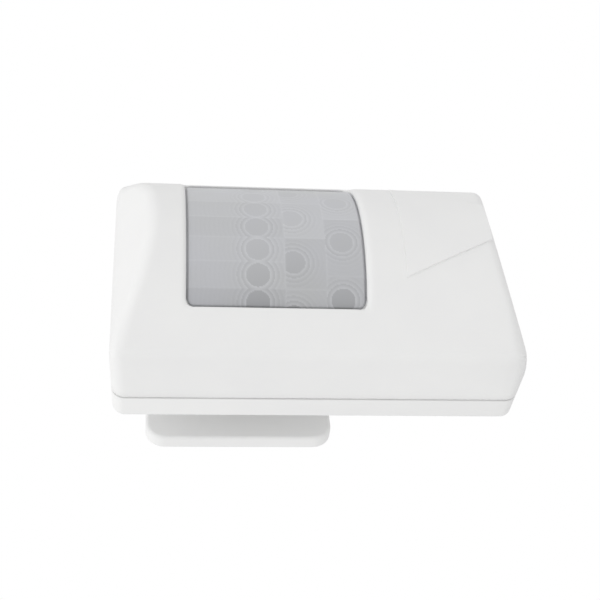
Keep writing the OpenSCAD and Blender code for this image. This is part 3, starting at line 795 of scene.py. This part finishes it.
bmesh.ops.transform(form, matrix=stand_up, verts=form.verts)
smooth(new_piece("cover_posts", form, "front", white_abs))

# ---- Front panel ----
# A slightly raised tapering field on the crown below the window, wide at the window's end.
# It is part of the same white moulding, with a fine broken edge.
panel_rise = 0.5 * mm
panel_skirt = 1 * mm
panel_break = 0.35 * mm
panel_low = -70.2 * mm
panel_high = -44 * mm
# Half its width as an angle round the crown, at its low and high end
panel_narrow = math.radians(11.6)
panel_wide = math.radians(30.4)
form = bmesh.new()
bmesh.ops.create_grid(form, x_segments=32, y_segments=8, size=1)
for v in form.verts:
    share = (v.co.y + 1) / 2
    turn = v.co.x * (panel_narrow + (panel_wide - panel_narrow) * share)
    radius = arch + panel_rise
    v.co = Vector((radius * math.sin(turn), panel_low + (panel_high - panel_low) * share,
                   arch_centre + radius * math.cos(turn)))
rim = [e for e in form.edges if e.is_boundary]
skirt = bmesh.ops.extrude_edge_only(form, edges=rim)
low = [v for v in skirt["geom"] if isinstance(v, bmesh.types.BMVert)]
for v in low:
    v.co.z -= panel_skirt
bmesh.ops.bevel(form, geom=rim, offset=panel_break, offset_type="OFFSET", segments=3, profile=0.5,
                affect="EDGES", material=-1)
bmesh.ops.recalc_face_normals(form, faces=form.faces)
bmesh.ops.transform(form, matrix=stand_up, verts=form.verts)
front_panel = new_piece("front_panel", form, "front", white_abs)
smooth(front_panel, 50)

# ---- Lens ----
# The sheet of milky polyethylene with its rows of ring-grooved lenses, bent under the hood.
# Its field stands up into the window from a flange that lies against the hood's inner face.
# Each lens is a small plain dome with rings around it; the top row holds the most.
lens_radius = arch - wall - 0.1 * mm
lens_half = 29.5 * mm
lens_low = -35.2 * mm
lens_high = 20.5 * mm
# Each row: its lower and upper border, the height of its lenses' centres, the pitch of its cells in degrees,
# where the first cell starts, and how far its lenses are drawn towards the middle of the sheet
lens_rows = [(-9.7, 20.6, -2, 12, 0.5, 1), (-21.4, -9.7, -12, 24, 0, 1), (-35.3, -21.4, -26, 30, 0.5, 0.9)]
lens_dome = 3.4 * mm
# Heights of the relief are in millimetres
dome_height = 0.02
ring_height = 0.05
ring_pitch = 1.3 * mm
border_depth = 0.03
border_width = 0.35 * mm
field_rise = 0.9 * mm
lens_thickness = 0.7 * mm


def lens_relief(turn, y):
    """The sheet's relief at a place, in mm, and its tone with painted light: painted shade on the domes,
    towards the sides and along the window's high edge, and painted light and dark bands on the rings. Its
    rings fade to the right.
    """
    share = turn / math.radians(45)
    right_side = max(0, share)
    # Painted shade: the sheet darker towards both sides of the crown, and a painted shadow of the hood's
    # edge along the window's high edge
    tone_and_painted_light = 1.03 - 0.14 * share**2 - 0.12 * max(0, 1 - abs(window_high - y) / (1.8 * mm)) ** 2
    for low_border, high_border, centre, pitch, offset, drawn_in in lens_rows:
        if not low_border * mm <= y < high_border * mm:
            continue
        step = math.degrees(turn) / pitch - offset
        nearest = (round(step) + offset) * pitch
        across = lens_radius * math.radians(math.degrees(turn) - nearest * drawn_in)
        side = (0.5 - abs(step - round(step))) * lens_radius * math.radians(pitch)
        end = min(y - low_border * mm, high_border * mm - y)
        away = math.hypot(across, y - centre * mm)
        border = max(0, 1 - min(side, end) / border_width)
        # Lighter along the cell borders, lighter towards one side, and a small change from lens to lens
        tone_and_painted_light += 0.03 * math.sin(3 * nearest + centre) + 0.08 * nearest / 45 + 0.06 * border
        if away < lens_dome:
            # Painted shade: each dome darker than the sheet, more so towards the sides and less to the right
            darker = (0.05 + 0.15 * share**2) * (1 - 0.75 * right_side)
            return dome_height * (1 - (away / lens_dome) ** 2) - border_depth * border, tone_and_painted_light - darker
        ring = ((away - lens_dome) / ring_pitch) % 1
        fade = max(0.1, 1 - (away - lens_dome) / (5 * mm)) * (1 - 0.75 * right_side)
        height = ring_height * (ring - 0.5) * fade - border_depth * border
        # Painted light and shade on the rings: each ring lighter on its inner part and darker on its outer
        # part, fading outwards
        return height, tone_and_painted_light + 0.27 * (0.42 - ring) * fade
    return 0, tone_and_painted_light


def field_height(turn, y):
    """How far the sheet stands above its flange: in full, save on a step just inside the window's edge."""
    x = (lens_radius + field_rise) * math.sin(turn)
    middle = (window_low + window_high) / 2
    a = abs(x) - window_half + window_corner
    b = abs(y - middle) - (window_high - window_low) / 2 + window_corner
    inside = window_corner - math.hypot(max(a, 0), max(b, 0)) - min(max(a, b), 0)
    share = min(max((inside - 0.3 * mm) / (0.5 * mm), 0), 1)
    return field_rise * share * share * (3 - 2 * share)


def milky_sheet(name):
    """Thin milky polyethylene over a dark hollow: cool grey, with the hollow's shade painted in, scaled by a
    per-vertex tone that holds painted shade and light on its domes and rings, and lighter cell borders.
    """
    material, tree, place = start_material(name)
    flow = node(tree, "ShaderNodeTexNoise", {"Vector": place, "Scale": 1 / (18 * mm), "Detail": 2})
    tint = node(tree, "ShaderNodeMix", {0: flow.outputs["Fac"], 6: linear("#C1C2C8"), 7: linear("#BDBEBE")},
                data_type="RGBA")
    tone_and_painted_light = node(tree, "ShaderNodeAttribute", attribute_name="tone_and_painted_light")
    colour = node(tree, "ShaderNodeVectorMath", {0: tint.outputs[2], "Scale": tone_and_painted_light.outputs["Fac"]},
                  operation="SCALE")
    grain = node(tree, "ShaderNodeTexNoise", {"Vector": place, "Scale": 1 / (0.5 * mm), "Detail": 2})
    gloss = node(tree, "ShaderNodeMapRange", {"Value": grain.outputs["Fac"], "To Min": 0.3,
                                              "To Max": 0.4})
    bump = node(tree, "ShaderNodeBump", {"Height": grain.outputs["Fac"], "Strength": 0.1,
                                         "Distance": 0.004 * mm})
    shader = node(tree, "ShaderNodeBsdfPrincipled",
                  {"Base Color": colour.outputs["Vector"], "Roughness": gloss.outputs["Result"],
                   "Normal": bump.outputs["Normal"], "IOR": 1.52})
    node(tree, "ShaderNodeOutputMaterial", {"Surface": shader.outputs["BSDF"]})
    return material


form = bmesh.new()
bmesh.ops.create_grid(form, x_segments=232, y_segments=202, size=1)
# Each vertex keeps its tone, with the sheet's painted shade and light, for the material
shade = form.verts.layers.float.new("tone_and_painted_light")
for v in form.verts:
    turn = math.asin(lens_half / lens_radius) * v.co.x
    y = lens_low + (lens_high - lens_low) * (v.co.y + 1) / 2
    relief, v[shade] = lens_relief(turn, y)
    radius = lens_radius + field_height(turn, y) + (relief - 0.05) * mm
    v.co = Vector((radius * math.sin(turn), y, arch_centre + radius * math.cos(turn)))
bmesh.ops.transform(form, matrix=stand_up, verts=form.verts)
# Milky polyethylene: half matt, a cool grey over the dark hollow behind it.
milky_polyethylene = milky_sheet("milky_polyethylene_sheet")
lens = new_piece("lens_sheet", form, "front", milky_polyethylene)
thick = lens.modifiers.new("thickness", "SOLIDIFY")
thick.thickness = lens_thickness
thick.offset = -1
freeze(lens)
lens.data.shade_smooth()
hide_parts("fresnel_lens")

# ---- Lens frame ----
# The frame that holds the lens sheet against the hood from inside.
# Moulded in ABS and snapped in behind the sheet.
# Grey ABS from an eroded mould: an even satin.
grey_abs = moulded_plastic("grey_abs_satin", "#9A9B9C", "#8E8F90", 8 * mm, 0.35 * mm, 0.5, 0.02 * mm)
finish_cad("lens_frame", grey_abs, 0.15 * mm)

# ---- Studio ----
# A white floor and white surroundings that light the sensor evenly, a little more from above.
# Both glow, so there is no lamp and no hard shadow.


def for_camera(tree, seen, used):
    """One shader where it is seen directly and another where it lights the object."""
    path = node(tree, "ShaderNodeLightPath")
    return node(tree, "ShaderNodeMixShader", {0: path.outputs["Is Camera Ray"], 1: used, 2: seen})


floor_form = bmesh.new()
bmesh.ops.create_grid(floor_form, x_segments=1, y_segments=1, size=30)
floor_mesh = bpy.data.meshes.new("floor")
floor_form.to_mesh(floor_mesh)
floor_form.free()
floor_mesh.transform(Matrix.Translation((0, 0, cad_low.z - 1 * mm)))
floor = bpy.data.objects.new("floor", floor_mesh)
bpy.context.scene.collection.objects.link(floor)
paper = bpy.data.materials.new("white_paper")
paper.use_nodes = True
paper.node_tree.nodes.clear()
bright = node(paper.node_tree, "ShaderNodeEmission", {"Color": (1, 1, 1, 1), "Strength": 1.0})
dim = node(paper.node_tree, "ShaderNodeEmission", {"Color": (1, 1, 1, 1), "Strength": 0.8})
both = for_camera(paper.node_tree, bright.outputs["Emission"], dim.outputs["Emission"])
node(paper.node_tree, "ShaderNodeOutputMaterial", {"Surface": both.outputs["Shader"]})
floor.data.materials.append(paper)
floor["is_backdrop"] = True

# The room is white where it is seen; its light grows towards above, the left and the front
room = bpy.data.worlds.new("room")
bpy.context.scene.world = room
room.use_nodes = True
tree = room.node_tree
tree.nodes.clear()
way = node(tree, "ShaderNodeTexCoord").outputs["Generated"]
towards_light = (-0.175, -0.095, 0.275)
mean_light = 0.905
lean = node(tree, "ShaderNodeVectorMath", {0: way, 1: towards_light}, operation="DOT_PRODUCT")
level = node(tree, "ShaderNodeMath", {0: lean.outputs["Value"], 1: mean_light}, operation="ADD")
soft = node(tree, "ShaderNodeBackground", {"Color": (1, 1, 1, 1), "Strength": level.outputs["Value"]})
plain = node(tree, "ShaderNodeBackground", {"Color": (1, 1, 1, 1), "Strength": 1.0})
both = for_camera(tree, plain.outputs["Background"], soft.outputs["Background"])
node(tree, "ShaderNodeOutputWorld", {"Surface": both.outputs["Shader"]})

scene = bpy.context.scene
scene.view_settings.view_transform = "Standard"

# The camera looks at the sensor's left side from the front, rolled so that its top end lies to the left
camera_data = bpy.data.cameras.new("camera")
camera_place = (-0.26805, -0.28256, 0.0282)
camera_data.lens = 72
camera_data.sensor_width = 36
camera_data.clip_start = 0.01
camera_data.clip_end = 100
camera = bpy.data.objects.new("camera", camera_data)
scene.collection.objects.link(camera)
forward = Vector((0.7269933, 0.67514922, -0.12511702)).normalized()
up = Vector((0.68202821, -0.73111032, 0.01775443)).normalized()
right = forward.cross(up).normalized()
up = right.cross(forward)
facing = Matrix((right, up, -forward)).transposed().to_4x4()
camera.matrix_world = Matrix.Translation(camera_place) @ facing
scene.camera = camera

low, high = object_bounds()
